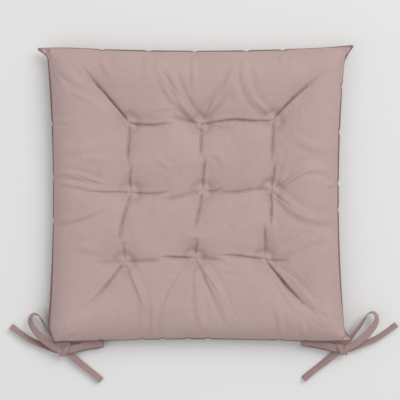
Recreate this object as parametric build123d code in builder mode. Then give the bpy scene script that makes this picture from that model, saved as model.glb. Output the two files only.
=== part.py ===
# Chair seat pad: a square two-panel cushion, filled, tufted in nine places, and tied to its chair
# by a pair of tapes at each back corner. Each pair is tied in a bow.
#
# Frame, in millimetres: +X to the right, +Y to the front edge, +Z up. The origin is under the
# middle of the pad, on the surface that it rests on.

import os
from math import cos, radians, sin, sqrt, tan

from build123d import *

os.makedirs("parts", exist_ok=True)

# ---------------------------------------------------------------- driving dimensions

# The pad's outline at its seam: four sides bowed inwards between rounded corners.
pad_width = 398.0
pad_depth = 395.2
side_bow = 9.0  # how far the left and right sides draw in at their middles
end_bow = 5.6  # the same for the front and back
corner_radius = 22.0

# The pad's section: an upper and a lower panel that meet in a knife-edge seam.
pad_height = 50.0
seam_height = 17.5
top_roll = 36.0  # how far in from the seam the top is flat
bottom_roll = 24.0
cover_thickness = 1.0
filling_clearance = 0.2

# Nine tufts, pulled through the pad by thread.
tuft_spacing = 94.0
tuft_centre = (4.0, 5.0)
tuft_count = 3  # in each row and in each column
# Sewn by hand, so each tuft is a little off its place, from the front left one, along the rows.
tuft_drift = [
    (1.0, -3.5), (2.4, -5.2), (4.1, -0.1),
    (3.4, -1.8), (4.4, 0.0), (1.7, 1.7),
    (-5.1, -0.1), (-5.9, 5.0), (-6.2, 3.4),
]
tuft_floor = 5.0  # radius of the flat spot under the stitch
tuft_mouth = 20.0  # radius where the funnel meets the panel
funnel_overshoot = 4.0  # how far the funnel's cone goes on past the panel
top_tuft_depth = 20.0
bottom_tuft_depth = 5.0
thread_radius = 0.8
thread_hole_clearance = 0.3
tack_length = 7.0
tack_width = 1.8
tack_height = 1.2

# The seam: both panels' edges turned inwards and sewn together all round.
allowance_width = 10.0
allowance_thickness = 2.0
allowance_grip = 0.3  # how far the allowance reaches into the covers it belongs to
seam_thread_width = 0.7
seam_thread_inset = 2.5  # from the seam line to the thread
groove_clearance = 0.4

# Pointed ears where the panels' corners stand out of the pad.
ear_reach = 12.4
ear_tip_radius = 2.0
ear_thickness = 2.8
ear_length = 34.0
ear_end_inset = 1.4  # from the outline's corner to the ear's edges, along the end and the side
ear_side_inset = 1.6
ear_side_share = 1.8  # the ear is this much shorter along the side
front_ear_lean = 0.9  # how far the tips lean out past the corner
back_ear_lean = -1.6

# Ties: flat tapes of the cover's own fabric.
tie_width = 10.0
tie_thickness = 1.4
knot_size = (13.6, 11.0, 9.8)
knot_edge_rounding = 3.0
knot_face_rounding = 2.0
root_gap = 0.9  # from the tack at the pad's seam to the tapes
root_tack_stand = 0.8  # how far the tack stands out from the outline's corners
root_tack_bite = 1.1  # how far it reaches into the pad's edge
root_tack_height = 2.8
root_tack_overlap = 4.0  # how far it covers each tape past the tape's middle
root_tack_rounding = 0.6

# ---------------------------------------------------------------- worked out from them

half_width = pad_width / 2
half_depth = pad_depth / 2
tuft_offset = (tuft_count - 1) / 2 * tuft_spacing
tuft_places = [
    (
        tuft_centre[0] - tuft_offset + column * tuft_spacing + tuft_drift[row * tuft_count + column][0],
        tuft_centre[1] + tuft_offset - row * tuft_spacing + tuft_drift[row * tuft_count + column][1],
    )
    for row in range(tuft_count)
    for column in range(tuft_count)
]
filling_inset = cover_thickness + filling_clearance
thread_hole = thread_radius + thread_hole_clearance
root_y = -half_depth - root_tack_stand  # the outer face of the tacks that hold the ties
tie_start_y = root_y - root_gap


def seam_face(inset):
    """The face inside the seam's outline, set in by inset."""
    x = half_width - inset
    y = half_depth - inset
    with BuildSketch() as face:
        with BuildLine():
            ThreePointArc((-x, -y), (0, -y + end_bow), (x, -y))
            ThreePointArc((x, -y), (x - side_bow, 0), (x, y))
            ThreePointArc((x, y), (0, y - end_bow), (-x, y))
            ThreePointArc((-x, y), (-x + side_bow, 0), (-x, -y))
        make_face()
        fillet(face.vertices(), corner_radius)
    return face.sketch


def panel_form(side, inset):
    """The solid under the upper panel (side 1) or over the lower one (side -1), set in by inset."""
    height = pad_height - seam_height if side > 0 else seam_height
    roll = top_roll if side > 0 else bottom_roll
    depth = top_tuft_depth if side > 0 else bottom_tuft_depth
    face_z = seam_height + side * height
    # The funnels' walls move out by inset, so the cover is as thick there as anywhere.
    slope = (tuft_mouth - tuft_floor) / depth
    widening = inset * sqrt(1 + slope * slope)
    floor_radius = tuft_floor + widening - slope * inset
    funnel_height = depth + inset + funnel_overshoot
    mouth_radius = floor_radius + slope * funnel_height
    with BuildPart() as form:
        for turn in (0, 25, 50, 70, 90):
            rise = side * (height - inset) * sin(radians(turn))
            draw_in = inset + (roll - inset) * (1 - cos(radians(turn)))
            with BuildSketch(Plane.XY.offset(seam_height + rise)):
                add(seam_face(draw_in))
        loft()
        middle_z = face_z - side * (depth + inset - funnel_height / 2)
        with Locations(*[(x, y, middle_z) for x, y in tuft_places]):
            Cone(floor_radius, mouth_radius, funnel_height, rotation=(0 if side > 0 else 180, 0, 0),
                 mode=Mode.SUBTRACT)
    return form.part


def ear_points(corner):
    """An ear's outline at a corner given as its signs in x and y: its tip, then its two sides."""
    sign_x, sign_y = corner
    along_end = (half_width - ear_length, half_depth - ear_end_inset)
    inside = (half_width - ear_length, half_depth - ear_length)
    along_side = (half_width - ear_side_inset, half_depth - ear_length / ear_side_share)
    tip = (half_width + ear_reach, half_depth + (front_ear_lean if sign_y > 0 else back_ear_lean))
    return [(sign_x * x, sign_y * y) for x, y in (tip, along_end, inside, along_side)]


def ear_faces():
    """The outlines of the three ears. The fourth corner is tucked under its bow."""
    with BuildSketch() as faces:
        for corner in ((-1, 1), (1, 1), (1, -1)):
            with BuildLine():
                Polyline(*ear_points(corner), close=True)
            make_face()
        tips = [v for v in faces.vertices() if abs(v.X) > half_width + ear_reach / 2]
        fillet(tips, ear_tip_radius)
    return faces.sketch


def seam_ring(inner_inset, outer_inset):
    """The band between two insets from the seam's outline."""
    with BuildSketch() as band:
        add(seam_face(outer_inset))
        add(seam_face(inner_inset), mode=Mode.SUBTRACT)
    return band.sketch


def finish(part, name):
    """Names a finished piece and writes it."""
    part.label = name
    export_step(part, f"parts/{name}.step")


# ---------------------------------------------------------------- the pad

upper_cavity = panel_form(1, cover_thickness)
lower_cavity = panel_form(-1, cover_thickness)
upper_outside = panel_form(1, 0)
lower_outside = panel_form(-1, 0)
upper_filling = panel_form(1, filling_inset)
lower_filling = panel_form(-1, filling_inset)

with BuildPart() as cover_top:
    add(upper_outside)
    with BuildSketch(Plane.XY.offset(seam_height)):
        add(ear_faces())
    extrude(amount=ear_thickness / 2)
    add(upper_cavity, mode=Mode.SUBTRACT)
    with Locations(*[(x, y, seam_height) for x, y in tuft_places]):
        Cylinder(thread_hole, pad_height, mode=Mode.SUBTRACT)
finish(cover_top.part, "cover_top")

with BuildPart() as cover_bottom:
    add(lower_outside)
    with BuildSketch(Plane.XY.offset(seam_height)):
        add(ear_faces())
    extrude(amount=-ear_thickness / 2)
    add(lower_cavity, mode=Mode.SUBTRACT)
    with Locations(*[(x, y, seam_height) for x, y in tuft_places]):
        Cylinder(thread_hole, pad_height, mode=Mode.SUBTRACT)
finish(cover_bottom.part, "cover_bottom")

allowance_inner = cover_thickness + allowance_width
allowance_bottom = seam_height - allowance_thickness / 2
allowance_top = seam_height + allowance_thickness / 2
with BuildPart() as seam_groove:
    with BuildSketch(Plane.XY.offset(allowance_bottom - groove_clearance)):
        add(seam_ring(allowance_inner + groove_clearance, 0))
    extrude(amount=allowance_thickness + seam_thread_width + 2 * groove_clearance)

with BuildPart() as filling:
    add(upper_filling)
    add(lower_filling)
    add(seam_groove.part, mode=Mode.SUBTRACT)
    with Locations(*[(x, y, seam_height) for x, y in tuft_places]):
        Cylinder(thread_hole, 2 * pad_height, mode=Mode.SUBTRACT)
finish(filling.part, "filling")

with BuildPart() as seam_allowance:
    with BuildSketch(Plane.XY.offset(allowance_bottom)):
        add(seam_ring(allowance_inner, cover_thickness - allowance_grip))
    extrude(amount=allowance_thickness)
finish(seam_allowance.part, "seam_allowance")

with BuildPart() as seam_thread:
    with BuildSketch(Plane.XY.offset(allowance_top)):
        add(seam_ring(seam_thread_inset + seam_thread_width, seam_thread_inset))
    extrude(amount=seam_thread_width)
finish(seam_thread.part, "seam_thread")

# Each tuft is one thread through the pad, with a bar tack on the floor of each funnel.
top_floor_z = pad_height - top_tuft_depth
for number, (tuft_x, tuft_y) in enumerate(tuft_places, 1):
    with BuildPart() as tuft_stitch:
        with BuildSketch(Plane.XY.offset(bottom_tuft_depth)):
            with Locations((tuft_x, tuft_y)):
                Circle(thread_radius)
        extrude(amount=top_floor_z - bottom_tuft_depth)
        for tack_z in (top_floor_z, bottom_tuft_depth - tack_height):
            with BuildSketch(Plane.XY.offset(tack_z)):
                with Locations((tuft_x, tuft_y)):
                    SlotOverall(tack_length, tack_width)
            extrude(amount=tack_height)
    finish(tuft_stitch.part, f"tuft_stitch_{number}")

# ---------------------------------------------------------------- the ties
#
# Each tape is one strip of fabric: out of the seam as a lead, out into a loop and back through
# the knot, and away as a tail. It is cut into those three solids where the knot hides it.
# Points are places along a tape's middle, chosen by hand. A loop starts and ends in the knot.

left_knot = (-178.2, -209.6, 12.6)
left_leads = {
    "outer": [(-183.2, tie_start_y, 17.9), (-183.2, -205.2, 16.8)],
    "inner": [(-172.8, tie_start_y, 17.9), (-172.8, -205.2, 16.8)],
}
left_outer_loop = [
    (-183.6, -208.2, 14.1),
    (-196.5, -201.0, 16.6),
    (-209.0, -189.0, 18.6),
    (-219.0, -177.5, 20.0),
    (-224.5, -166.5, 20.8),
    (-220.5, -156.0, 20.6),
    (-210.5, -156.0, 19.6),
    (-206.5, -166.5, 17.8),
    (-204.8, -180.0, 15.4),
    (-198.0, -193.0, 12.8),
    (-183.6, -205.6, 11.4),
]
left_outer_tail = [
    (-183.4, -210.6, 8.6),
    (-196.5, -208.2, 7.4),
    (-210.5, -203.4, 6.2),
    (-224.5, -196.6, 5.2),
    (-237.6, -187.6, 4.2),
    (-249.6, -177.4, 3.6),
]
left_inner_loop = [
    (-173.2, -208.2, 14.2),
    (-158.5, -205.3, 15.8),
    (-143.5, -202.9, 16.6),
    (-130.0, -201.2, 16.4),
    (-124.6, -200.7, 13.8),
    (-124.2, -200.8, 8.6),
    (-129.6, -201.5, 6.2),
    (-143.5, -203.3, 6.0),
    (-158.5, -205.7, 8.2),
    (-173.2, -208.8, 11.3),
]
left_inner_tail = [
    (-173.4, -211.8, 8.4),
    (-161.4, -221.2, 7.0),
    (-149.3, -231.3, 5.6),
    (-137.9, -241.5, 4.2),
    (-128.2, -251.4, 3.2),
]

right_knot = (197.0, -208.6, 12.6)
right_leads = {
    "outer": [(202.2, tie_start_y, 17.9), (202.2, -204.4, 16.8)],
    "inner": [(191.8, tie_start_y, 17.9), (191.8, -204.4, 16.8)],
}
right_outer_loop = [
    (202.4, -207.4, 14.1),
    (215.0, -200.2, 16.4),
    (229.0, -188.6, 18.4),
    (240.5, -175.6, 20.0),
    (246.0, -163.5, 21.4),
    (241.5, -153.5, 21.6),
    (231.5, -154.0, 20.8),
    (226.0, -164.0, 19.0),
    (220.5, -177.5, 16.2),
    (213.8, -190.8, 13.2),
    (202.4, -204.6, 11.4),
]
right_outer_tail = [
    (202.2, -209.8, 8.6),
    (216.0, -206.0, 7.4),
    (230.5, -200.4, 6.2),
    (244.5, -193.2, 5.2),
    (257.8, -184.2, 4.2),
    (270.6, -174.2, 3.6),
]
right_inner_loop = [
    (192.0, -207.2, 14.2),
    (178.0, -204.4, 15.8),
    (163.0, -202.2, 16.6),
    (149.6, -200.9, 16.4),
    (144.2, -200.6, 13.8),
    (143.8, -200.7, 8.6),
    (149.2, -201.2, 6.2),
    (163.0, -202.8, 6.0),
    (178.0, -204.9, 8.2),
    (192.0, -207.8, 11.3),
]
right_inner_tail = [
    (192.2, -211.0, 8.4),
    (180.6, -219.2, 7.0),
    (168.6, -228.4, 5.6),
    (156.6, -238.4, 4.2),
    (145.8, -248.8, 3.2),
]


def bend_radii(points):
    """For each corner of a route, the arc that its two runs leave room for."""
    radii = []
    for before, corner, after in zip(points, points[1:], points[2:]):
        run_in = Vector(*corner) - Vector(*before)
        run_out = Vector(*after) - Vector(*corner)
        half_turn = radians(run_in.get_angle(run_out)) / 2
        radii.append(0.45 * min(run_in.length, run_out.length) / tan(half_turn))
    return radii


def tape(name, points):
    """Writes a flat tape that follows the points, level where it starts."""
    radii = bend_radii(points)
    with BuildPart() as strip:
        with BuildLine() as route:
            if radii:
                FilletPolyline(*points, radius=radii)
            else:
                Line(*points)
        path = route.wires()[0]
        heading = path % 0
        across = Vector(0, 0, 1).cross(heading).normalized()
        with BuildSketch(Plane(origin=path @ 0, x_dir=across, z_dir=heading)):
            Rectangle(tie_width, tie_thickness)
        sweep(path=path)
    finish(strip.part, name)
    expected = path.length * tie_width * tie_thickness
    print(f"{name}: {path.length:.1f} mm, volume {strip.part.volume:.0f} of {expected:.0f} mm3,"
          f" radii {[round(radius, 1) for radius in radii]}")


def knot(name, centre):
    """Writes a knot: a rounded block that the tapes run into."""
    with BuildPart() as block:
        with Locations(centre):
            Box(*knot_size)
        fillet(block.edges().filter_by(Axis.Y), knot_edge_rounding)
        fillet(block.edges().group_by(Axis.Y)[0] + block.edges().group_by(Axis.Y)[-1], knot_face_rounding)
    finish(block.part, name)


def back_edge(x):
    """Where the pad's back edge is at x: the ear's edge at the right corner, and elsewhere the bowed seam."""
    if x > half_width - ear_length:
        return -half_depth + ear_end_inset
    return -half_depth + end_bow * (1 - (x / half_width) ** 2)


def root_tack(name, leads):
    """Writes the tack that sews two leads into the pad's edge, nearly as wide as both."""
    lead_xs = [points[0][0] for points in leads.values()]
    middle_x = (lead_xs[0] + lead_xs[1]) / 2
    inner_y = back_edge(middle_x) + root_tack_bite
    with BuildPart() as tack:
        with Locations((middle_x, (root_y + inner_y) / 2, seam_height)):
            Box(abs(lead_xs[0] - lead_xs[1]) + 2 * root_tack_overlap, inner_y - root_y, root_tack_height)
        fillet(tack.edges().filter_by(Axis.X), root_tack_rounding)
    finish(tack.part, name)


for hand, centre, leads in (("left", left_knot, left_leads), ("right", right_knot, right_leads)):
    root_tack(f"{hand}_root_tack", leads)
    knot(f"{hand}_knot", centre)
    for place, points in leads.items():
        tape(f"{hand}_{place}_lead", points)

for name, points in (
    ("left_outer_loop", left_outer_loop),
    ("left_outer_tail", left_outer_tail),
    ("left_inner_loop", left_inner_loop),
    ("left_inner_tail", left_inner_tail),
    ("right_outer_loop", right_outer_loop),
    ("right_outer_tail", right_outer_tail),
    ("right_inner_loop", right_inner_loop),
    ("right_inner_tail", right_inner_tail),
):
    tape(name, points)
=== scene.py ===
"""A tufted chair seat pad in brushed dusty-rose cotton, with a bow of two ties at each back corner.

Frame: metres, +X to the right, +Y to the front edge, +Z up, the origin under the middle of the pad.
Left and right are the viewer's, looking down at the pad with its front edge away.
Places in the tables below are in millimetres in the same frame.
"""

import math

import bpy
import numpy as np
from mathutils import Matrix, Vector


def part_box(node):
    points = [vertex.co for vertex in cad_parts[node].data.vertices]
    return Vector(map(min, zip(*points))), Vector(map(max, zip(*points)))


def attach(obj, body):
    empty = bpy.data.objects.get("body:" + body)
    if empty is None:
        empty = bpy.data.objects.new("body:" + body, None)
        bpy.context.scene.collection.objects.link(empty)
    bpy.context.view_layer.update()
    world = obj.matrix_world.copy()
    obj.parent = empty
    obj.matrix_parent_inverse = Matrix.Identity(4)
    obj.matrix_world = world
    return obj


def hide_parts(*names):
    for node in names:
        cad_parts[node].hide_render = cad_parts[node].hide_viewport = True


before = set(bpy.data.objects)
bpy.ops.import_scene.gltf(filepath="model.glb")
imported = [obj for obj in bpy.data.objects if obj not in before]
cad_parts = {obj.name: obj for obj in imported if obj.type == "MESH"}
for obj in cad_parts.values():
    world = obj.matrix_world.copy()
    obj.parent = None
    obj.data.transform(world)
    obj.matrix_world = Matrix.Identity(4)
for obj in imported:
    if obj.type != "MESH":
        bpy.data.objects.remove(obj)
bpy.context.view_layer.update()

MM = 0.001


# ---------------------------------------------------------------- colours and nodes

def linear(hex_colour):
    """An sRGB hex colour as linear red, green, blue and a full alpha."""
    channels = [int(hex_colour[i:i + 2], 16) / 255 for i in (1, 3, 5)]
    return tuple(c / 12.92 if c <= 0.04045 else ((c + 0.055) / 1.055) ** 2.4 for c in channels) + (1.0,)


def node(tree, kind, settings=None, links=None):
    """Adds a node. settings holds its attributes and input values, and links its inputs' sources. An
    input goes by its name or, where several share one, by its number."""
    made = tree.nodes.new(kind)
    for name, value in (settings or {}).items():
        if isinstance(name, int) or name in made.inputs:
            made.inputs[name].default_value = value
        else:
            setattr(made, name, value)
    for name, source in (links or {}).items():
        tree.links.new(source, made.inputs[name])
    return made


def new_material(name, colour, roughness):
    """A material with a base colour and roughness, its node tree and its principled shader."""
    material = bpy.data.materials.new(name)
    material.use_nodes = True
    shader = material.node_tree.nodes["Principled BSDF"]
    shader.inputs["Base Color"].default_value = linear(colour)
    shader.inputs["Roughness"].default_value = roughness
    return material, material.node_tree, shader


# ---------------------------------------------------------------- camera

# Straight down at the pad as it lies, from far enough that its sides barely show.
VIEW_WIDTH = 536 * MM
VIEW_CENTRE = (5.4 * MM, -6.7 * MM)
CAMERA_HEIGHT = 1.6
SEEN_HEIGHT = 0.02  # the height at which the view is VIEW_WIDTH across
SENSOR = 36.0

camera_data = bpy.data.cameras.new("camera")
camera_data.sensor_width = SENSOR
camera_data.lens = SENSOR * (CAMERA_HEIGHT - SEEN_HEIGHT) / VIEW_WIDTH
camera = bpy.data.objects.new("camera", camera_data)
camera.location = (*VIEW_CENTRE, CAMERA_HEIGHT)
bpy.context.scene.collection.objects.link(camera)
bpy.context.scene.camera = camera


# ---------------------------------------------------------------- mesh helpers

def new_piece(name, places, faces, material):
    """A smooth mesh piece from places in metres."""
    mesh = bpy.data.meshes.new(name)
    mesh.from_pydata(np.asarray(places).tolist(), [], [tuple(face) for face in faces])
    mesh.materials.append(material)
    mesh.shade_smooth()
    piece = bpy.data.objects.new(name, mesh)
    bpy.context.scene.collection.objects.link(piece)
    return piece


def grid_faces(index):
    """The four corners of each cell of a grid, anticlockwise from above, from its places' numbers."""
    return np.stack((index[:-1, :-1], index[:-1, 1:], index[1:, 1:], index[1:, :-1]), -1).reshape(-1, 4)


def unit(vectors):
    """The same vectors at length 1."""
    return vectors / np.maximum(np.linalg.norm(vectors, axis=-1, keepdims=True), 1e-12)


def ribbon(line, across, outline, closed=False):
    """Places and faces of a strip along a line. across is its width direction at each place, and
    outline its section: how far across and how far out each corner is, as numbers or arrays."""
    heading = unit(np.gradient(line, axis=0))
    outward = unit(np.cross(heading, across))
    count, corners = len(line), len(outline)
    sections = [line + across * np.broadcast_to(wide, count)[:, None]
                + outward * np.broadcast_to(out, count)[:, None] for wide, out in outline]
    places = np.stack(sections, 1).reshape(-1, 3)
    faces = []
    for i in range(count if closed else count - 1):
        after = (i + 1) % count
        for j in range(corners):
            k = (j + 1) % corners
            faces.append((i * corners + j, i * corners + k, after * corners + k, after * corners + j))
    if not closed:
        # Each end is closed by a fan round its middle.
        first, last = len(places), len(places) + 1
        places = np.vstack([places, line[:1], line[-1:]])
        start = (count - 1) * corners
        for j in range(corners):
            k = (j + 1) % corners
            faces.append((first, k, j))
            faces.append((last, start + j, start + k))
    return places, faces


# ---------------------------------------------------------------- the ties, first as routes

# Each tie is one tape: out of the seam, round its loop, through the knot, and away as a tail.
# Each row is a place on the tape's middle line: how far it is from its knot towards the pad's middle, how
# far it is in front of its knot, its height, and the tape's twist in degrees, 0 where it lies flat.
TIE_WIDTH = 10.0
TIE_THICKNESS = 1.3
KNOT_HEIGHT = 12.8
HEM_LENGTH = 5.0
# Each bow: its knot's place, which way its inner side points, and how wide it is spread.
BOWS = {"left": ((-178.3, -208.6), 1, 1.0), "right": ((197.2, -206.4), -1, 1.03)}
OUTER_TIE = (
    (-4.8, 12.0, 17.4, 0), (-4.6, 9.0, 15.8, 0), (-3.6, 4.0, 13.6, 0), (-3.4, 0.4, 13.8, -4),
    (-9.8, 2.4, 15.2, -6), (-18.0, 7.8, 16.2, -6), (-30.6, 18.0, 16.6, -8), (-40.6, 30.0, 16.6, -22),
    (-45.2, 39.6, 16.0, -48), (-42.2, 48.8, 15.2, -68), (-33.8, 48.2, 14.6, -92),
    (-28.4, 39.6, 14.0, -114), (-23.2, 31.0, 13.4, -124), (-16.0, 21.2, 12.8, -124),
    (-8.4, 11.0, 12.4, -128), (-3.4, 4.6, 11.8, -148), (0.6, 0.2, 10.6, -172),
    (6.0, -4.2, 8.8, -192), (16.4, -14.2, 6.6, -210), (27.6, -23.6, 5.2, -220), (39.2, -32.4, 4.6, -222),
    (50.2, -42.6, 4.4, -222),
)
INNER_TIE = (
    (4.8, 12.0, 17.2, 0), (4.6, 9.0, 15.6, 0), (3.8, 4.0, 14.0, 0), (3.6, 1.0, 14.4, 0),
    (11.0, 1.4, 15.4, 8), (20.0, 4.0, 15.6, 10), (34.0, 7.6, 15.2, 6), (48.0, 8.6, 14.6, 2),
    (53.8, 8.8, 13.2, 0), (54.0, 8.4, 8.6, 0), (48.0, 6.4, 7.0, -2), (34.0, 4.2, 7.2, -6),
    (20.0, 1.2, 8.8, -10), (9.0, -0.8, 10.4, -8), (0.2, -1.6, 10.4, 0),
    (-6.4, -1.2, 9.6, 14), (-17.6, 2.0, 7.6, 34), (-31.0, 6.2, 6.0, 46), (-45.6, 12.0, 5.2, 52),
    (-58.8, 21.4, 4.9, 54), (-71.8, 31.2, 4.8, 54),
)
SQUEEZE_REACH = 7.0  # a tape is gathered within about this much of its knot
SQUEEZE = 0.32
LEVELLING = 0.2  # how quickly a tape with no twist comes to lie flat


def tie_route(hand, table):
    """A tie's route in the shared frame, in millimetres, with its twists."""
    (knot_x, knot_y), inward, spread = BOWS[hand]
    return [(knot_x + inward * spread * x, knot_y + y, z, inward * twist) for x, y, z, twist in table]


def route_line(points):
    """The smooth line of a route, in metres, read from a curve with the route as its control points."""
    curve = bpy.data.curves.new("route", "CURVE")
    curve.dimensions = "3D"
    spline = curve.splines.new("NURBS")
    spline.points.add(len(points) - 1)
    for point, (x, y, z, _) in zip(spline.points, points):
        point.co = (x * MM, y * MM, z * MM, 1)
    spline.order_u = 3
    spline.use_endpoint_u = True
    route = bpy.data.objects.new("route", curve)
    mesh = bpy.data.meshes.new_from_object(route)
    line = np.array([vertex.co for vertex in mesh.vertices])
    bpy.data.objects.remove(route)
    bpy.data.meshes.remove(mesh)
    return line


def level_across(line):
    """A direction across a line at each place: level, but carried on where the line climbs steeply."""
    heading = unit(np.gradient(line, axis=0))
    across = [unit(np.cross((0, 0, 1), heading[0]))]
    for direction in heading[1:]:
        carried = across[-1] - direction * np.dot(across[-1], direction)
        level = np.cross((0, 0, 1), direction)
        across.append(unit(carried + LEVELLING * level * np.sign(np.dot(level, carried))))
    return np.array(across)


def tape_outline(width, thickness):
    """A tape's section along its line: folded edges, and a row of edge stitching sunk in each face."""
    half, out = width / 2, thickness / 2
    corners = [(-1, 0), (-0.94, 0.75), (-0.8, 1), (-0.72, 0.7), (-0.64, 1), (0, 0.9), (0.64, 1),
               (0.72, 0.7), (0.8, 1), (0.94, 0.75), (1, 0), (0.94, -0.75), (0.8, -1), (0.72, -0.7),
               (0.64, -1), (0, -0.9), (-0.64, -1), (-0.72, -0.7), (-0.8, -1), (-0.94, -0.75)]
    return [(half * wide, out * far) for wide, far in corners]


def make_tie(name, points, knot_centre, material):
    """One tape along its route, twisted as listed and gathered where it goes through its knot."""
    line = route_line(points)
    along = np.linspace(0, len(points) - 1, len(line))
    twist = np.radians(np.interp(along, range(len(points)), [point[3] for point in points]))
    level = level_across(line)
    heading = unit(np.gradient(line, axis=0))
    upright = np.cross(heading, level)
    across = level * np.cos(twist)[:, None] + upright * np.sin(twist)[:, None]
    from_knot = np.linalg.norm(line - np.array((*knot_centre, KNOT_HEIGHT)) * MM, axis=1) / MM
    gathered = np.exp(-(from_knot / SQUEEZE_REACH) ** 2)
    gone = np.concatenate([[0], np.cumsum(np.linalg.norm(np.diff(line, axis=0), axis=1))]) / MM
    # Soft handling creases: slow waves in the tape's width.
    handling = 0.03 * np.sin(gone / 5.3) + 0.02 * np.sin(gone / 2.9 + 1)
    width = TIE_WIDTH * MM * (1 - SQUEEZE * gathered + handling)
    # The end is folded in twice, so it is thicker over its last few millimetres.
    end_hem = 0.5 + 0.5 * np.tanh((gone - gone[-1] + HEM_LENGTH) / 0.5)
    thickness = TIE_THICKNESS * MM * (1 + 0.5 * gathered + 0.45 * end_hem)
    places, faces = ribbon(line, across, tape_outline(width, thickness))
    return new_piece(name, places, faces, material), line, gone[-1] * MM


# ---------------------------------------------------------------- materials

def thread_waves(tree, distance, spacing):
    """Parallel threads, one each spacing in metres of a distance, as rounded waves from -1 to 1."""
    turns = node(tree, "ShaderNodeMath", {"operation": "MULTIPLY", 1: 2 * math.pi / spacing},
                 {0: distance})
    return node(tree, "ShaderNodeMath", {"operation": "SINE"}, {0: turns.outputs[0]}).outputs[0]


def plain_weave(tree, place, spacing):
    """A plain weave seen from any side: threads across X and Y that go over and under each other."""
    axes = node(tree, "ShaderNodeSeparateXYZ", links={"Vector": place}).outputs
    # The upright sides of the pad get their second set of threads from the height.
    level = node(tree, "ShaderNodeMath", {"operation": "ADD"}, {0: axes["Y"], 1: axes["Z"]})
    warp = thread_waves(tree, axes["X"], spacing)
    weft = thread_waves(tree, level.outputs[0], spacing)
    return node(tree, "ShaderNodeMath", {"operation": "MULTIPLY"}, {0: warp, 1: weft}).outputs[0]


def woven_cotton(name, colour, worn_colour, weave_spacing):
    """Brushed plain-weave cotton: matt, with a soft nap that catches light at grazing angles, a fine
    weave, slubs in the yarn, and slow differences in the dye."""
    material, tree, shader = new_material(name, colour, 0.86)
    shader.inputs["Sheen Weight"].default_value = 0.22
    shader.inputs["Sheen Roughness"].default_value = 0.45
    shader.inputs["Sheen Tint"].default_value = linear("#d9c3bf")
    shader.inputs["Specular IOR Level"].default_value = 0.22
    place = node(tree, "ShaderNodeTexCoord").outputs["Object"]
    # The dye changes slowly, over about 45 mm. The slubs are 1.1 mm thick and 9 mm long.
    dye = node(tree, "ShaderNodeTexNoise", {"Scale": 1 / (45 * MM), "Detail": 3.0, "Roughness": 0.55},
               {"Vector": place})
    slub_scale = (1 / (1.1 * MM), 1 / (9 * MM), 1 / (1.1 * MM))
    slub_place = node(tree, "ShaderNodeMapping", {"Scale": slub_scale}, {"Vector": place})
    slubs = node(tree, "ShaderNodeTexNoise", {"Scale": 1.0, "Detail": 2.0},
                 {"Vector": slub_place.outputs[0]}).outputs["Fac"]
    dye_range = node(tree, "ShaderNodeMapRange", {"From Min": 0.3, "From Max": 0.7},
                     {"Value": dye.outputs["Fac"]})
    base = node(tree, "ShaderNodeMix", {"data_type": "RGBA", 6: linear(colour), 7: linear(worn_colour)},
                {"Factor": dye_range.outputs[0]})
    yarn = node(tree, "ShaderNodeMapRange",
                {"From Min": 0.25, "From Max": 0.75, "To Min": 0.965, "To Max": 1.035},
                {"Value": slubs}).outputs[0]
    weave = node(tree, "ShaderNodeMapRange",
                 {"From Min": -1.0, "From Max": 1.0, "To Min": 0.965, "To Max": 1.02},
                 {"Value": plain_weave(tree, place, weave_spacing)}).outputs[0]
    shade = node(tree, "ShaderNodeMath", {"operation": "MULTIPLY"}, {0: yarn, 1: weave})
    tinted = node(tree, "ShaderNodeVectorMath", {"operation": "SCALE"},
                  {0: base.outputs[2], "Scale": shade.outputs[0]})
    tree.links.new(tinted.outputs[0], shader.inputs["Base Color"])
    relief = node(tree, "ShaderNodeMath", {"operation": "ADD"}, {0: weave, 1: yarn})
    bump = node(tree, "ShaderNodeBump", {"Strength": 0.35, "Distance": 0.6 * MM},
                {"Height": relief.outputs[0]})
    tree.links.new(bump.outputs[0], shader.inputs["Normal"])
    rough = node(tree, "ShaderNodeMapRange",
                 {"From Min": 0.25, "From Max": 0.75, "To Min": 0.8, "To Max": 0.93}, {"Value": slubs})
    tree.links.new(rough.outputs[0], shader.inputs["Roughness"])
    return material


def patterned(tree, shader, pattern, dark, light, strength, distance):
    """Colours and raises a surface by a pattern from 0 to 1, between two colours."""
    shade = node(tree, "ShaderNodeMix", {"data_type": "RGBA", 6: linear(dark), 7: linear(light)},
                 {"Factor": pattern})
    tree.links.new(shade.outputs[2], shader.inputs["Base Color"])
    bump = node(tree, "ShaderNodeBump", {"Strength": strength, "Distance": distance}, {"Height": pattern})
    tree.links.new(bump.outputs[0], shader.inputs["Normal"])


def twisted_thread():
    """Polyester sewing thread, coloured darker than the cloth as painted shade, so the tacks sit dark
    like the tufts' shaded pits: a tight diagonal twist and a faint shine.
    """
    material, tree, shader = new_material("polyester_sewing_thread_painted_shade", "#8a6f6b", 0.6)
    shader.inputs["Sheen Weight"].default_value = 0.15
    place = node(tree, "ShaderNodeTexCoord").outputs["Object"]
    # Bands about 1.6 mm apart, which is coarser than a real thread's twist, so that they show.
    twist = node(tree, "ShaderNodeTexWave",
                 {"Scale": 1 / (4.5 * MM), "Distortion": 0.6, "bands_direction": "DIAGONAL"},
                 {"Vector": place})
    patterned(tree, shader, twist.outputs["Fac"], "#7c625e", "#947974", 0.5, 0.3 * MM)
    return material


def fibre_batting():
    """Hollow polyester fibre: white, very matt, with tufts and loose strands that let some light in."""
    material, tree, shader = new_material("hollow_polyester_fibre", "#e9e8e2", 0.95)
    shader.inputs["Sheen Weight"].default_value = 0.4
    shader.inputs["Subsurface Weight"].default_value = 0.2
    place = node(tree, "ShaderNodeTexCoord").outputs["Object"]
    # The fibre clings together in tufts about 14 mm across.
    clumps = node(tree, "ShaderNodeTexNoise",
                  {"Scale": 1 / (14 * MM), "Detail": 6.0, "Distortion": 1.5}, {"Vector": place})
    patterned(tree, shader, clumps.outputs["Fac"], "#d3d1c8", "#f4f3ee", 0.8, 2 * MM)
    return material
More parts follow.
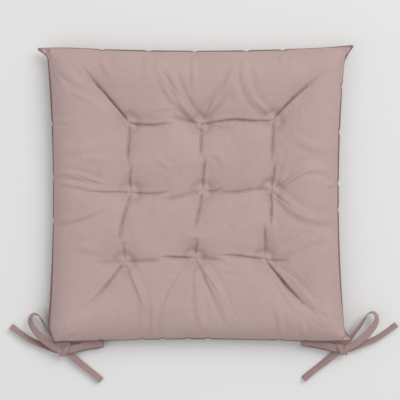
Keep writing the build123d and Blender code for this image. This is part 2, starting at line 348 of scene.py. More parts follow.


# The real weave has two threads to the millimetre. It is drawn at about one, so that it shows.
# The pinched edge at the seam is four layers pressed hard together; its darker colour is painted shade,
# for the shaded turn of the cloth at the seam.
cover_cotton = woven_cotton("brushed_plain_weave_cotton", "#bca39f", "#c2a9a5", 1.1 * MM)
shaded_edge_cotton = woven_cotton("pinched_cotton_edge_painted_shade", "#8b736f", "#947c78", 0.9 * MM)
tie_cotton = woven_cotton("folded_cotton_tape", "#a48a87", "#ad9390", 0.9 * MM)
shaded_sewing_thread = twisted_thread()
batting = fibre_batting()


# ---------------------------------------------------------------- the ties and their knots

# The turns of tape in a knot: where each is from its middle, the direction of its axis in degrees, how
# far it reaches to each side and up, how far it moves along its axis, and how wide the tape is in it.
KNOT_TURNS = (
    ((0.4, -0.6), 28, 5.4, 3.4, 1.0, 9.4),
    ((-4.4, -1.2), 28, 4.2, 2.6, 0.4, 7.8),
    ((-4.2, -1.2), 28, 2.2, 1.2, 0.2, 7.6),
    ((2.8, -0.2), -31, 6.2, 3.2, -0.6, 6.4),
    ((2.8, -0.2), -31, 3.8, 1.6, -0.3, 6.2),
    ((-4.6, -1.2), 28, 6.2, 4.2, 1.6, 8.4),
    ((2.8, -0.2), -31, 8.6, 5.0, -2.2, 6.8),
)
TURN_LEAN = 0.2


def make_knot(name, hand, material):
    """A flat bow's knot: a packed middle, the tape coming in over it, and a band wrapped round both."""
    (knot_x, knot_y), inward, _ = BOWS[hand]
    turn = np.radians(np.linspace(-110, 285, 52))
    places, faces = [], []
    for (off_x, off_y), axis_angle, reach, height, drift, width in KNOT_TURNS:
        angle = math.radians(axis_angle)
        axis = np.array((inward * math.cos(angle), math.sin(angle), 0.0))
        side = np.array((-inward * math.sin(angle), math.cos(angle), 0.0))
        middle = np.array((knot_x + inward * off_x, knot_y + off_y, KNOT_HEIGHT))
        slide = np.linspace(-0.5, 0.5, len(turn)) * drift
        line = (middle + np.cos(turn)[:, None] * side * reach
                + np.sin(turn)[:, None] * np.array((0, 0, height)) + slide[:, None] * axis)
        leaning = unit(axis + TURN_LEAN * side * np.sin(turn)[:, None])
        swell = 1 + 0.12 * np.cos(2 * turn)
        section = tape_outline(width * MM * swell, TIE_THICKNESS * MM)
        turn_places, turn_faces = ribbon(line * MM, leaning, section)
        faces += [tuple(i + len(places) for i in face) for face in turn_faces]
        places += turn_places.tolist()
    return new_piece(name, places, faces, material)


for hand in BOWS:
    knot = make_knot(f"{hand}_bow_knot", hand, tie_cotton)
    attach(knot, f"{hand}_bow")
    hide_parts(f"{hand}_knot")
    for place, other, table in (("outer", "inner", OUTER_TIE), ("inner", "outer", INNER_TIE)):
        route = tie_route(hand, table)
        tie, line, length = make_tie(f"{hand}_{place}_tie", route, BOWS[hand][0], tie_cotton)
        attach(tie, f"{hand}_bow")
        # A loop's returning strand runs straight on through the knot, into the other side's tail.
        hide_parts(f"{hand}_{place}_lead", f"{hand}_{place}_loop", f"{hand}_{other}_tail")


# ---------------------------------------------------------------- the pad's form

PAD_HALF_WIDTH = 199.0
SIDE_BOW = 9.0  # how far the sides draw in at their middles
PAD_HALF_DEPTH = 197.6
END_BOW = 5.6
SEAM_HEIGHT = sum(corner.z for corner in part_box("seam_allowance")) / 2 / MM
TUFT_COUNT = 9
tuft_boxes = [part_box(f"tuft_stitch_{number}") for number in range(1, TUFT_COUNT + 1)]
TUFTS = [tuple((low + high).to_2d() / 2 / MM) for low, high in tuft_boxes]
TACK_COVER = 0.5  # the gathered cloth closes over each tack by this much
TOP_TUFT_Z = tuft_boxes[0][1].z / MM + TACK_COVER
BOTTOM_TUFT_Z = tuft_boxes[0][0].z / MM - TACK_COVER

# Each corner's ear: its side, how far it stands out from the outline's corner, and its length
# along the side. The back left corner is tucked in under its bow instead.
EARS = (
    ((-1, 1), (-12.0, -2.0), 14.0),
    ((1, 1), (10.8, 2.0), 21.0),
    ((1, -1), (8.8, 3.4), 20.0),
    ((-1, -1), (9.5, -0.6), 24.0),
)
EAR_DEPTH = 34.0  # how far an ear's pull reaches in along the front or back edge

# Nips: places where the seam's thread pulls the edge in. Each is a side, and a place along it.
NIPS = {
    "front": (-126.5, -64.0, -1.6, 68.0, 116.0),
    "back": (-128.0, -72.8, -45.2, -10.3, 15.8, 111.7, 146.6),
    "left": (96.2, 23.5, -34.6),
    "right": (145.6, 84.5, 16.0, -20.0),
}
NIP_DEPTH = 1.7
NIP_WIDTH = 3.2
NIP_CREASE = 2.0  # how deep the crease is that runs in from a nip
RIM_POWER = 40  # how closely a nip keeps to the edge


def nips(side, place):
    """How far the seam is pulled in at places along a side."""
    return sum(NIP_DEPTH * np.exp(-((place - at) / NIP_WIDTH) ** 2) for at in NIPS[side])


def outline(across, along):
    """The plan place of grid places across and along the pad, each from -1 to 1."""
    x = across * (PAD_HALF_WIDTH - SIDE_BOW * (1 - along ** 2))
    y = along * (PAD_HALF_DEPTH - END_BOW * (1 - across ** 2))
    for (sign_x, sign_y), (out_x, out_y), length in EARS:
        near_end = np.clip(1 - PAD_HALF_DEPTH * (1 - sign_y * along) / length, 0, 1) ** 1.5
        near_side = np.clip(1 - PAD_HALF_WIDTH * (1 - sign_x * across) / EAR_DEPTH, 0, 1) ** 2
        x = x + out_x * near_end * near_side
        y = y + out_y * near_end * near_side
    rim_x, rim_y = np.abs(across) ** RIM_POWER, np.abs(along) ** RIM_POWER
    x = x - np.sign(across) * rim_x * np.where(across < 0, nips("left", y), nips("right", y))
    y = y - np.sign(along) * rim_y * np.where(along < 0, nips("back", x), nips("front", x))
    return x, y


def edge_steps(cells, roll):
    """Grid places from -1 to 1, evenly spaced over the panel's rolled section, and how far up the
    roll each is, 0 to 1. The roll is a quarter round of radius roll next to each edge."""
    place = np.linspace(-1, 1, cells + 1)
    from_edge = 1 - np.abs(place)
    section = PAD_HALF_WIDTH - roll + roll * math.pi / 2
    roll_share = roll * math.pi / 2 / section
    turn = np.minimum(from_edge / roll_share, 1) * math.pi / 2
    gone_in = np.where(from_edge < roll_share, roll * (1 - np.cos(turn)),
                       roll + from_edge * section - roll * math.pi / 2)
    return np.sign(place) * (1 - gone_in / PAD_HALF_WIDTH), np.sin(turn), section


# ---------------------------------------------------------------- fold lines

def smooth_line(points, per_run=8):
    """A smooth line through points, as places."""
    points = np.array(points, float)
    if len(points) < 3:
        return np.linspace(points[0], points[-1], per_run + 1)
    ends = np.vstack([2 * points[0] - points[1], points, 2 * points[-1] - points[-2]])
    places = []
    for a, b, c, d in zip(ends, ends[1:], ends[2:], ends[3:]):
        for t in np.arange(per_run) / per_run:
            places.append(0.5 * (2 * b + (c - a) * t + (2 * a - 5 * b + 4 * c - d) * t ** 2
                                 + (3 * b - a - 3 * c + d) * t ** 3))
    return np.vstack([places, points[-1:]])


def beside(line, x, y):
    """For places near a line: how far they are to its left, how far along it from 0 to 1, and the
    direction to them from it."""
    nearest = np.full(x.shape, 1e9)
    away = np.zeros((*x.shape, 2))
    left = np.zeros(x.shape)
    share = np.zeros(x.shape)
    runs = np.diff(line, axis=0)
    lengths = np.hypot(*runs.T)
    before = np.concatenate([[0], np.cumsum(lengths)])
    for (start_x, start_y), (run_x, run_y), length, gone in zip(line, runs, lengths, before):
        t = np.clip(((x - start_x) * run_x + (y - start_y) * run_y) / length ** 2, 0, 1)
        off_x, off_y = x - start_x - t * run_x, y - start_y - t * run_y
        distance = np.hypot(off_x, off_y)
        nearer = distance < nearest
        nearest = np.where(nearer, distance, nearest)
        left = np.where(nearer, np.where(run_x * off_y - run_y * off_x < 0, -distance, distance), left)
        share = np.where(nearer, (gone + t * length) / before[-1], share)
        away = np.where(nearer[..., None], np.stack([off_x, off_y], -1), away)
    return left, share, unit(away)


# Folds that the tufts pull in the upper panel: a tuft's number from 0 or None, places after it, a
# tuft or None, how deep it is, and which side laps over it: 1 its left and -1 its right.
FOLDS = (
    # out to the corners
    (0, [(-120.8, 133.0), (-149.8, 167.3)], None, 5.6, 1),
    (2, [(133.0, 130.0), (164.7, 158.7)], None, 5.4, -1),
    (6, [(-121.0, -121.5), (-143.0, -147.2)], None, 3.4, -1),
    (8, [(120.4, -118.9), (150.9, -153.7)], None, 4.5, 1),
    # front row
    (0, [(-60.0, 93.2), (-30.0, 94.4)], None, 3.4, 1),
    (None, [(-37.0, 102.6), (-14.0, 98.6)], 1, 3.1, -1),
    (1, [(31.3, 98.0), (51.9, 100.4), (80.0, 98.4)], 2, 3.4, 1),
    (1, [(28.0, 89.0), (51.9, 87.6)], None, 1.7, -1),
    # middle row
    (None, [(-150.0, 4.0)], 3, 2.2, 1),
    (3, [(-56.0, 1.8), (-30.0, 5.0)], None, 2.8, 1),
    (None, [(-54.1, -7.1), (-26.0, -4.6)], 4, 2.5, -1),
    (4, [(24.0, 5.2), (36.0, 8.6)], None, 2.8, 1),
    (None, [(14.0, 3.6), (50.1, 2.4), (80.0, 6.6)], 5, 3.1, -1),
    # back row
    (None, [(-134.0, -91.8)], 6, 2.2, -1),
    (6, [(-66.0, -88.2), (-40.0, -86.8)], None, 3.1, -1),
    (None, [(-50.7, -82.4), (-28.0, -82.0)], 7, 3.4, 1),
    (7, [(20.0, -85.4), (40.0, -88.6)], None, 2.5, -1),
    (None, [(26.0, -81.2), (50.0, -79.6), (70.0, -82.4)], 8, 3.1, 1),
    (8, [(124.0, -88.0)], None, 2.2, 1),
    # left column
    (0, [(-90.7, 56.0), (-90.4, 32.0)], None, 3.4, -1),
    (None, [(-86.0, 42.5), (-87.4, 20.0)], 3, 2.8, 1),
    (3, [(-96.0, -26.0), (-101.3, -50.0), (-100.6, -70.0)], None, 3.4, -1),
    (None, [(-95.6, -62.0)], 6, 2.2, 1),
    # middle column
    (1, [(5.4, 66.5), (6.4, 42.5)], None, 3.4, -1),
    (None, [(12.0, 54.0), (10.2, 26.0)], 4, 3.1, 1),
    (4, [(1.0, -29.0), (-4.2, -55.0)], None, 3.6, -1),
    (None, [(1.4, -56.0), (0.8, -70.0)], 7, 2.8, 1),
    # right column
    (2, [(99.7, 63.0), (99.2, 34.0)], None, 3.9, -1),
    (None, [(105.9, 48.0), (103.0, 24.0)], 5, 3.1, 1),
    (5, [(100.4, -22.0), (96.3, -44.6)], None, 3.4, 1),
    (None, [(90.2, -36.0), (91.0, -60.0)], 8, 3.4, -1),
)

# Sharp creases in the billowed cloth, in the same form.
CREASES = (
    (None, [(-187.0, 26.0), (-158.0, 26.0), (-135.0, 17.5), (-114.0, 10.0)], None, 2.8, 1),
    (None, [(-184.0, -34.0), (-150.0, -26.0), (-112.0, -10.0)], None, 1.4, -1),
    (5, [(112.0, 14.0), (138.8, 31.8), (164.0, 38.0)], None, 2.4, -1),
    (5, [(114.0, -6.0), (141.7, -23.6), (170.0, -30.0)], None, 1.8, 1),
    (1, [(-18.5, 145.4), (-27.2, 178.0)], None, 1.6, 1),
    (1, [(-36.0, 151.0), (-57.5, 181.0)], None, 1.5, 1),
    (1, [(28.0, 139.5), (42.7, 157.0), (54.3, 186.0)], None, 1.7, -1),
    (2, [(73.0, 128.0), (63.0, 158.0)], None, 1.3, -1),
    (6, [(-69.8, -151.8), (-68.0, -187.0)], None, 1.3, 1),
    (7, [(19.4, -128.5), (28.1, -158.0)], None, 1.7, 1),
    (7, [(42.7, -151.8), (51.4, -186.7)], None, 1.4, 1),
    (7, [(-30.1, -128.5), (-47.6, -181.0)], None, 1.5, -1),
    (8, [(128.0, -108.0), (158.0, -142.0)], None, 1.4, -1),
)

# Softer wrinkles that run from the tufts to the seam and across the cells, in the same form, with how
# high each is and how wide.
WRINKLES = (
    # front
    (1, [(-19.0, 125.2), (-40.8, 174.6)], None, 2.5, 4.6),
    (1, [(-33.6, 131.0), (-51.0, 171.7)], None, 1.9, 4.2),
    (None, [(-0.2, 130.0), (-3.0, 160.0), (-2.4, 189.0)], None, 1.4, 3.6),
    (1, [(10.0, 102.0), (39.1, 136.8), (52.1, 184.0)], None, 2.4, 4.8),
    (None, [(52.1, 118.0), (53.6, 147.0)], None, 1.1, 4.0),
    (2, [(91.4, 110.7), (73.9, 128.1), (63.8, 157.2), (66.4, 189.0)], None, 2.0, 4.6),
    (None, [(88.0, 140.0), (76.8, 180.0)], None, 1.1, 5.0),
    (None, [(-127.0, 190.0), (-120.0, 170.0), (-110.0, 152.0)], None, 1.5, 4.2),
    (None, [(116.0, 192.0), (113.0, 168.0)], None, 1.1, 4.0),
    (None, [(-64.0, 192.0), (-66.0, 150.0)], None, 1.0, 4.6),
    # left
    (None, [(-190.0, 26.5), (-168.0, 27.0), (-145.0, 21.5), (-116.0, 12.6)], None, 3.2, 4.0),
    (None, [(-188.0, 18.6), (-149.8, 12.4), (-112.0, 6.6)], None, 2.1, 4.0),
    (None, [(-190.0, -36.0), (-149.8, -27.3), (-113.0, -10.0)], None, 2.8, 5.0),
    (None, [(-182.0, 57.0), (-130.0, 63.0)], None, 1.4, 5.5),
    (None, [(-160.0, 50.0), (-112.0, 46.0)], None, 1.1, 4.5),
    (None, [(-170.0, -65.0), (-118.0, -75.0)], None, 1.4, 5.5),
    (None, [(-182.0, 170.0), (-155.6, 148.5), (-120.0, 125.0)], None, 1.8, 5.0),
    (None, [(-166.0, 140.0), (-122.0, 117.0)], None, 1.5, 5.0),
    (None, [(-190.0, 97.0), (-160.0, 100.0)], None, 1.0, 4.0),
    # right
    (5, [(124.0, 23.0), (146.6, 35.1), (184.0, 32.2)], None, 2.6, 5.4),
    (5, [(112.0, 22.0), (122.0, 40.0)], None, 1.5, 4.0),
    (5, [(111.7, -3.0), (140.8, -27.0), (188.0, -35.0)], None, 2.5, 5.6),
    (None, [(122.0, 81.0), (152.4, 64.2), (186.0, 58.4)], None, 1.6, 5.6),
    (8, [(120.4, -75.3), (155.3, -57.8), (188.0, -52.0)], None, 1.6, 6.0),
    (None, [(186.0, 16.4), (172.0, 12.0)], None, 1.5, 3.4),
    # back
    (7, [(7.1, -92.7), (27.4, -124.7), (47.0, -176.0)], None, 2.8, 5.0),
    (7, [(1.3, -101.4), (4.2, -153.7), (17.3, -189.0)], None, 1.9, 4.8),
    (7, [(-10.3, -95.6), (-33.6, -136.3), (-46.0, -189.0)], None, 2.0, 4.8),
    (6, [(-88.8, -98.5), (-71.3, -136.3), (-69.0, -188.0)], None, 1.8, 4.8),
    (None, [(-54.0, -140.0), (-59.0, -188.0)], None, 1.8, 4.0),
    (None, [(108.0, -145.0), (114.0, -190.0)], None, 1.6, 3.8),
    (8, [(111.7, -118.9), (136.0, -158.0)], None, 1.6, 3.6),
    (None, [(118.0, -106.0), (168.0, -157.0)], None, 1.6, 4.4),
    (None, [(146.0, -191.0), (139.0, -168.0)], None, 1.2, 3.6),
    # across the cells
    (None, [(-56.0, 49.0), (-28.0, 34.0)], None, 1.0, 4.0),
    (None, [(23.0, 61.0), (43.0, 34.0)], None, 1.0, 4.5),
    (None, [(-52.0, -58.0), (-24.0, -40.0)], None, 0.8, 5.0),
    (None, [(40.0, -30.0), (66.0, -50.0)], None, 0.6, 5.0),
)


def fold_line(fold):
    """A fold's smooth line, from its tufts and the places between."""
    start, places, end = fold[:3]
    points = [] if start is None else [TUFTS[start]]
    points += places
    points += [] if end is None else [TUFTS[end]]
    return smooth_line(points)


FADING = 0.55  # the share of a fold's length over which it fades to a free end


def fade(fold, share):
    """How strong a fold is along its line: full at a tuft, and nothing at a free end."""
    start, _, end = fold[:3]
    strength = np.ones(np.shape(share))
    if start is None:
        strength = strength * np.sin(np.clip(share / FADING, 0, 1) * math.pi / 2)
    if end is None:
        strength = strength * np.sin(np.clip((1 - share) / FADING, 0, 1) * math.pi / 2)
    return strength


# ---------------------------------------------------------------- the panels, billowed

TUFT_FLAT = 3.0  # radius of the spot that a stitch holds down
HELD_Z = 37.5  # how high the folds between tufts stay, halfway
LETTING_GO = 16.0  # distance from a tuft over which they rise to it
HALF_SPAN = 44.0  # past this distance from a tuft a fold runs up to the surface
HELD_SLOPE = 0.12  # how steeply it runs up there
FOLD_REACH = 9.0  # how far to each side a fold pulls the panel down
LINE_CELLS = 0.62  # a place is on a fold line within this many cells of it
LINE_STRENGTH = 0.35  # a weaker stretch of a fold isn't held
DIMPLE = 14.0  # distance from a tuft over which the panel dips to it, before it is blown up
EAR_FLAT = 8.0  # the corners lie flat and are held within this distance
EAR_RISE = 0.35  # how steeply they rise from the seam
UNEVENNESS = 0.15  # keeps the cloth from staying straight where it should wrinkle
# Each panel's roll at the seam, its rise and its tufts' height before it is blown up, how much larger
# than its outline it is cut, and the pressure of the filling.
UPPER_FORM = (28.0, 26.5, TOP_TUFT_Z, 1.12, 14)
LOWER_FORM = (20.0, 14.0, BOTTOM_TUFT_Z, 1.03, 4)


def drawn_down(x, y, z, tuft_z, cell):
    """The upper panel's heights with its folds drawn down, and which places lie on a fold line."""
    held = np.zeros(x.shape, bool)
    from_tuft = np.min([np.hypot(x - tuft_x, y - tuft_y) for tuft_x, tuft_y in TUFTS], axis=0)
    line_z = (tuft_z + (HELD_Z - tuft_z) * (1 - np.exp(-from_tuft / LETTING_GO))
              + HELD_SLOPE * np.maximum(from_tuft - HALF_SPAN, 0))
    for fold in FOLDS:
        left, share, _ = beside(fold_line(fold), x, y)
        strength = fade(fold, share)
        pull = np.exp(-np.abs(left) / FOLD_REACH) * strength
        z = np.where(pull > 0.02, np.minimum(z, z * (1 - pull) + line_z * pull), z)
        held |= (np.abs(left) < cell * LINE_CELLS) & (strength > LINE_STRENGTH)
    return z, held


def starting_form(upper, cells):
    """A panel before it is blown up: its grid of places, the same places on the cloth cut flat, which
    of them are held, and half the length of its section. All are in millimetres."""
    roll, rise, tuft_z, cut, _ = UPPER_FORM if upper else LOWER_FORM
    side = 1 if upper else -1
    steps, up, section = edge_steps(cells, roll)
    across, along = np.meshgrid(steps, steps)
    up_across, up_along = np.meshgrid(up, up)
    x, y = outline(across, along)
    z = SEAM_HEIGHT + side * rise * up_across * up_along
    held = np.zeros(x.shape, bool)
    if upper:
        z, held = drawn_down(x, y, z, tuft_z, section / cells)
    for tuft_x, tuft_y in TUFTS:
        from_tuft = np.hypot(x - tuft_x, y - tuft_y)
        pull = np.exp(-(from_tuft / DIMPLE) ** 1.3)
        z = z * (1 - pull) + tuft_z * pull
        held |= from_tuft < TUFT_FLAT
    ear = np.hypot(PAD_HALF_WIDTH * (1 - np.abs(across)), PAD_HALF_DEPTH * (1 - np.abs(along)))
    held |= ear < EAR_FLAT
    z = np.where(ear < EAR_FLAT, SEAM_HEIGHT + side * ear * EAR_RISE, z)
    held[0] = held[-1] = held[:, 0] = held[:, -1] = True
    z[0] = z[-1] = z[:, 0] = z[:, -1] = SEAM_HEIGHT
    unevenness = np.random.default_rng(3 if upper else 4).normal(0, UNEVENNESS, z.shape)
    z = z + np.where(held, 0, unevenness)
    even = np.linspace(-1, 1, cells + 1)
    flat_x, flat_y = outline(*np.meshgrid(even, even))
    stretch = section / PAD_HALF_WIDTH * cut
    flat = np.stack([flat_x * stretch, flat_y * stretch, np.zeros(x.shape)], -1)
    return np.stack([x, y, z], -1), flat, held, section


def billow(name, upper, cells, frames):
    """One panel as fabric: sewn down round its seam and at its tufts, cut larger than its outline, and
    blown up by the filling. Returns its grid of places, and half the length of its section."""
    grid, flat, held, section = starting_form(upper, cells)
    index = np.arange(held.size).reshape(held.shape)
    quads = grid_faces(index)
    faces = quads if upper else quads[:, ::-1]
    mesh = bpy.data.meshes.new(name)
    mesh.from_pydata((grid.reshape(-1, 3) * MM).tolist(), [], faces.tolist())
    cut_panel = bpy.data.objects.new(name, mesh)
    bpy.context.scene.collection.objects.link(cut_panel)
    held_group = cut_panel.vertex_groups.new(name="held")
    held_group.add(index[held].tolist(), 1.0, "REPLACE")
    cut_panel.shape_key_add(name="Basis")
    cut_flat = cut_panel.shape_key_add(name="cut flat")
    cut_flat.data.foreach_set("co", flat.ravel() * MM)
    cloth = cut_panel.modifiers.new("cloth", "CLOTH")
    fabric = cloth.settings
    fabric.quality = 5
    fabric.mass = 0.3
    fabric.tension_stiffness = fabric.compression_stiffness = 15
    fabric.shear_stiffness = 5
    fabric.bending_stiffness = 0.1
    fabric.tension_damping = fabric.compression_damping = fabric.shear_damping = 5
    fabric.bending_damping = 0.5
    fabric.air_damping = 1
    fabric.vertex_group_mass = "held"
    fabric.pin_stiffness = 20
    fabric.use_pressure = True
    fabric.uniform_pressure_force = (UPPER_FORM if upper else LOWER_FORM)[-1]
    fabric.rest_shape_key = cut_flat
    fabric.effector_weights.gravity = 0
    cloth.collision_settings.use_collision = False
    cloth.point_cache.frame_start = 1
    cloth.point_cache.frame_end = frames
    for number in range(1, frames + 1):
        bpy.context.scene.frame_set(number)
    blown = cut_panel.evaluated_get(bpy.context.evaluated_depsgraph_get()).data
    places = np.empty(grid.size, np.float32)
    blown.vertices.foreach_get("co", places)
    bpy.data.objects.remove(cut_panel)
    bpy.context.scene.frame_set(1)
    return places.reshape(grid.shape).astype(float) / MM, section


def doubled(grid):
    """A grid with twice the cells, through the same places, smooth between them."""
    for axis in (0, 1):
        grid = np.moveaxis(grid, axis, 0)
        ends = np.concatenate([2 * grid[:1] - grid[1:2], grid, 2 * grid[-1:] - grid[-2:-1]])
        between = (9 * (ends[1:-2] + ends[2:-1]) - ends[:-3] - ends[3:]) / 16
        finer = np.empty((2 * len(grid) - 1, *grid.shape[1:]))
        finer[::2] = grid
        finer[1::2] = between
        grid = np.moveaxis(finer, 0, axis)
    return grid


def grid_normals(grid, side):
    """Outward directions of a panel's grid. side is 1 for the upper panel and -1 for the lower."""
    return unit(np.cross(np.gradient(grid, axis=1), np.gradient(grid, axis=0))) * side


CREASE_WIDTH = 1.4  # how sharply a fold's bottom closes
LAP_REACH = 3.0  # how far from a fold the cloth beside it stands highest
NEAR = 22.0  # no fold shows further than this from its line
OVERLAP = 0.34  # how far the cloth slides over a fold, as a share of its depth
SLIDE_AT = 2.2  # how far from a fold it slides most
SLIDE_WIDTH = 1.6
FOLD_STOPS = 4.5  # folds and wrinkles die out this close to a tuft, where they meet
WRINKLE_STOPS = 15.0


def fold_relief(x, y):
    """How far the folds and wrinkles move the upper panel outwards, and sideways, at each place."""
    relief = np.zeros(x.shape)
    sideways = np.zeros((*x.shape, 2))
    from_tuft = np.min([np.hypot(x - tuft_x, y - tuft_y) for tuft_x, tuft_y in TUFTS], axis=0)
    for folded, stops, table in ((True, FOLD_STOPS, FOLDS + CREASES), (False, WRINKLE_STOPS, WRINKLES)):
        for fold in table:
            line = fold_line(fold)
            low, high = line.min(0) - NEAR, line.max(0) + NEAR
            near = (x > low[0]) & (x < high[0]) & (y > low[1]) & (y < high[1])
            left, share, away = beside(line, x[near], y[near])
            strength = fade(fold, share) * (1 - np.exp(-(from_tuft[near] / stops) ** 2))
            if folded:
                depth, lap = fold[3:]
                groove = np.exp(-np.abs(left) / CREASE_WIDTH)
                swell = 0.5 * np.exp(-((left * lap - LAP_REACH) / (0.8 * LAP_REACH)) ** 2)
                relief[near] += depth * strength * (swell - groove)
                # The cloth on the lapping side slides over the groove.
                slid = np.where(left * lap > 0, np.exp(-((left * lap - SLIDE_AT) / SLIDE_WIDTH) ** 2), 0)
                sideways[near] -= (OVERLAP * depth * strength * slid)[:, None] * away
            else:
                height, width = fold[3:]
                ridge = np.exp(-(left / width) ** 2)
                hollow = np.exp(-((np.abs(left) - 1.7 * width) / (0.8 * width)) ** 2)
                relief[near] += height * strength * (ridge - 0.5 * hollow)
    return relief, sideways


PUCKER_HEIGHT = 0.55
PUCKER_REACH = 4.0  # how far in from the seam the puckers are highest
PUCKER_WAVES = ((5.6, 0.5), (7.9, 1.0), (11.7, 0.9), (19.0, 0.6), (31.0, 0.5))  # length, share
# Each side, the grid's axis that leads in from it, and whether it is at that axis's far end.
SIDES = (("back", 0, False), ("front", 0, True), ("left", 1, False), ("right", 1, True))


def pucker_relief(grid, step, seed):
    """How far the seam's gathers move a panel in or out. step is the size of a cell of its grid."""
    rows = len(grid)
    relief = np.zeros((rows, rows))
    random = np.random.default_rng(seed)
    from_start = np.arange(rows) * step
    for edge, axis, at_far_end in SIDES:
        from_edge = from_start[::-1] if at_far_end else from_start
        away = np.moveaxis(np.broadcast_to(from_edge, (rows, rows)), 1, axis)
        place = grid[..., 1 - axis]
        waves = sum(share * np.sin(2 * math.pi * (place / length + random.random()))
                    for length, share in PUCKER_WAVES)
        near_seam = away / PUCKER_REACH * np.exp(1 - away / PUCKER_REACH)
        relief += PUCKER_HEIGHT * waves * near_seam
        for at in NIPS[edge]:
            relief -= NIP_CREASE * np.exp(-np.abs(place - at) / 1.5) * np.exp(-((away - 3.5) / 4.5) ** 2)
    return relief


BASIN_DEPTH = 2.8
BASIN_REACH = 10.5  # how far from a tuft its basin is deepest
OVERHANG = 2.6
OVERHANG_REACH = 5.0  # how far in from the seam the lower panel hangs out most


def overhang(away):
    """How far the lower panel hangs out past the seam, from how far in from it a place is."""
    return OVERHANG * away / OVERHANG_REACH * np.exp(1 - away / OVERHANG_REACH)


def panel(name, upper, cells, frames, seed):
    """A whole panel: billowed, then made finer and given its folds and puckers."""
    grid, section = billow(name, upper, cells, frames)
    fine = doubled(grid)
    side = 1 if upper else -1
    outward = grid_normals(fine, side)
    relief = pucker_relief(fine, section / cells, seed)
    inside = np.zeros(relief.shape)
    inside[1:-1, 1:-1] = 1
    if upper:
        # The cloth sinks into a wide basin round each tuft.
        for tuft_x, tuft_y in TUFTS:
            out = (np.hypot(fine[..., 0] - tuft_x, fine[..., 1] - tuft_y) / BASIN_REACH) ** 3
            fine[..., 2] -= BASIN_DEPTH * out * np.exp(1 - out)
        folded, sideways = fold_relief(fine[..., 0], fine[..., 1])
        relief = relief + folded
        fine[..., :2] += sideways * inside[..., None]
    fine = fine + outward * (relief * inside)[..., None]
    if not upper:
        # The filling has slid towards the front and the left, and hangs over the seam there.
        fine[..., 0] -= inside * overhang(fine[..., 0] - fine[:, :1, 0])
        fine[..., 1] += inside * overhang(fine[-1:, :, 1] - fine[..., 1])
        fine[..., 2] = np.maximum(fine[..., 2], 0)
    return fine


top = panel("upper_panel", True, 150, 22, 5)
bottom = panel("lower_panel", False, 100, 14, 6)


def grid_piece(name, grid, upper, material):
    """A panel as a piece."""
    quads = grid_faces(np.arange(len(grid) ** 2).reshape(len(grid), len(grid)))
    return new_piece(name, grid.reshape(-1, 3) * MM, quads if upper else quads[:, ::-1], material)


upper_cover = grid_piece("upper_cover_panel", top, True, cover_cotton)
lower_cover = grid_piece("lower_cover_panel", bottom, False, cover_cotton)
for cover, replaced in ((upper_cover, "cover_top"), (lower_cover, "cover_bottom")):
    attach(cover, "pad")
    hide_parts(replaced)


def edge_loop(grid):
    """The places round a grid's edge, anticlockwise from its first corner."""
    return np.concatenate([grid[0, :-1], grid[:-1, -1], grid[-1, :0:-1], grid[:0:-1, 0]])


FILLING_CELLS = 50
FILLING_EDGE = 2  # how many of its cells in from the seam the filling starts
TOP_CLEARANCE = 4.5  # it stays this far below the covers' outside, clear of their folds
BOTTOM_CLEARANCE = 2.5


def make_filling():
    """The fibre filling: the panels' own form, a little smaller, with an upright edge inside the seam."""
    layers = []
    for grid, side, clearance in ((top, 1, TOP_CLEARANCE), (bottom, -1, BOTTOM_CLEARANCE)):
        skip = (len(grid) - 1) // FILLING_CELLS
        # It follows the deepest cloth round each place, so that no fold cuts into it.
        window = np.lib.stride_tricks.sliding_window_view(
            np.pad(side * grid[..., 2], skip, mode="edge"), (2 * skip + 1, 2 * skip + 1))
        coarse = grid[::skip, ::skip].copy()
        coarse[..., 2] = side * window.min((2, 3))[::skip, ::skip]
        inset = coarse - grid_normals(coarse, side) * clearance
        layers.append(inset[FILLING_EDGE:-FILLING_EDGE, FILLING_EDGE:-FILLING_EDGE])
    rows = len(layers[0])
    upper_index = np.arange(rows * rows).reshape(rows, rows)
    lower_index = upper_index + rows * rows
    faces = grid_faces(upper_index).tolist() + grid_faces(lower_index)[:, ::-1].tolist()
    upper_edge, lower_edge = edge_loop(upper_index), edge_loop(lower_index)
    for a, b, c, d in zip(upper_edge, lower_edge, np.roll(lower_edge, -1), np.roll(upper_edge, -1)):
        faces.append((a, b, c, d))
    places = np.concatenate([layer.reshape(-1, 3) for layer in layers]) * MM
    return new_piece("fibre_filling", places, faces, batting)


filling = make_filling()
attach(filling, "pad")
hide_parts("filling")

RIDGE_HALF_WIDTH = 1.8
RIDGE_HALF_HEIGHT = 0.8
RIDGE_CORNERS = 8


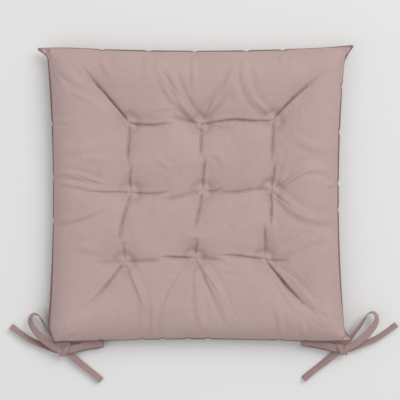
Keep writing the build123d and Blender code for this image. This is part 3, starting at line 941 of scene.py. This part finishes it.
def make_seam_ridge():
    """The pinched edge that the seam leaves: both panels' cloth, turned in at the stitching, in a darker
    colour that is painted shade.
    """
    line = edge_loop(top) * MM
    heading = unit(np.roll(line, -1, axis=0) - np.roll(line, 1, axis=0))
    across = unit(np.cross(heading, (0, 0, 1)))
    turn = np.arange(RIDGE_CORNERS) * 2 * math.pi / RIDGE_CORNERS
    section = [(RIDGE_HALF_WIDTH * MM * math.cos(t), RIDGE_HALF_HEIGHT * MM * math.sin(t)) for t in turn]
    places, faces = ribbon(line, across, section, closed=True)
    return new_piece("seam_edge", places, faces, shaded_edge_cotton)


seam_edge = make_seam_ridge()
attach(seam_edge, "pad")


# ---------------------------------------------------------------- floor and light

def area_light(name, place, size, power, colour):
    """A soft light that faces the pad."""
    lamp = bpy.data.lights.new(name, "AREA")
    lamp.size = size
    lamp.energy = power
    lamp.color = linear(colour)[:3]
    light = bpy.data.objects.new(name, lamp)
    light.location = place
    light.rotation_euler = (-Vector(place)).to_track_quat("-Z", "Y").to_euler()
    bpy.context.scene.collection.objects.link(light)


FLOOR_REACH = 3.0
FLOOR_DROP = 0.0002  # keeps the floor's face from meeting the pad's
floor_mesh = bpy.data.meshes.new("floor")
floor_corners = [(FLOOR_REACH * x, FLOOR_REACH * y, -FLOOR_DROP)
                 for x, y in ((-1, -1), (1, -1), (1, 1), (-1, 1))]
floor_mesh.from_pydata(floor_corners, [], [(0, 1, 2, 3)])
floor_paint, _, _ = new_material("matt_white_floor", "#ececeb", 0.9)
floor_mesh.materials.append(floor_paint)
floor = bpy.data.objects.new("floor", floor_mesh)
bpy.context.scene.collection.objects.link(floor)

area_light("key", (1.7, 1.7, 2.86), 2.3, 68, "#ffffff")
area_light("fill", (-1.7, -0.9, 2.2), 2.5, 15, "#f8faff")
world = bpy.data.worlds.new("studio")
world.use_nodes = True
world.node_tree.nodes["Background"].inputs["Color"].default_value = (1, 1, 1, 1)
world.node_tree.nodes["Background"].inputs["Strength"].default_value = 0.47
bpy.context.scene.world = world
bpy.context.scene.view_settings.view_transform = "Standard"

for name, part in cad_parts.items():
    sewn = name.startswith("tuft_stitch") or name.endswith("root_tack") or name == "seam_thread"
    if sewn or name == "seam_allowance":
        part.data.materials.clear()
        part.data.materials.append(shaded_sewing_thread if sewn else cover_cotton)
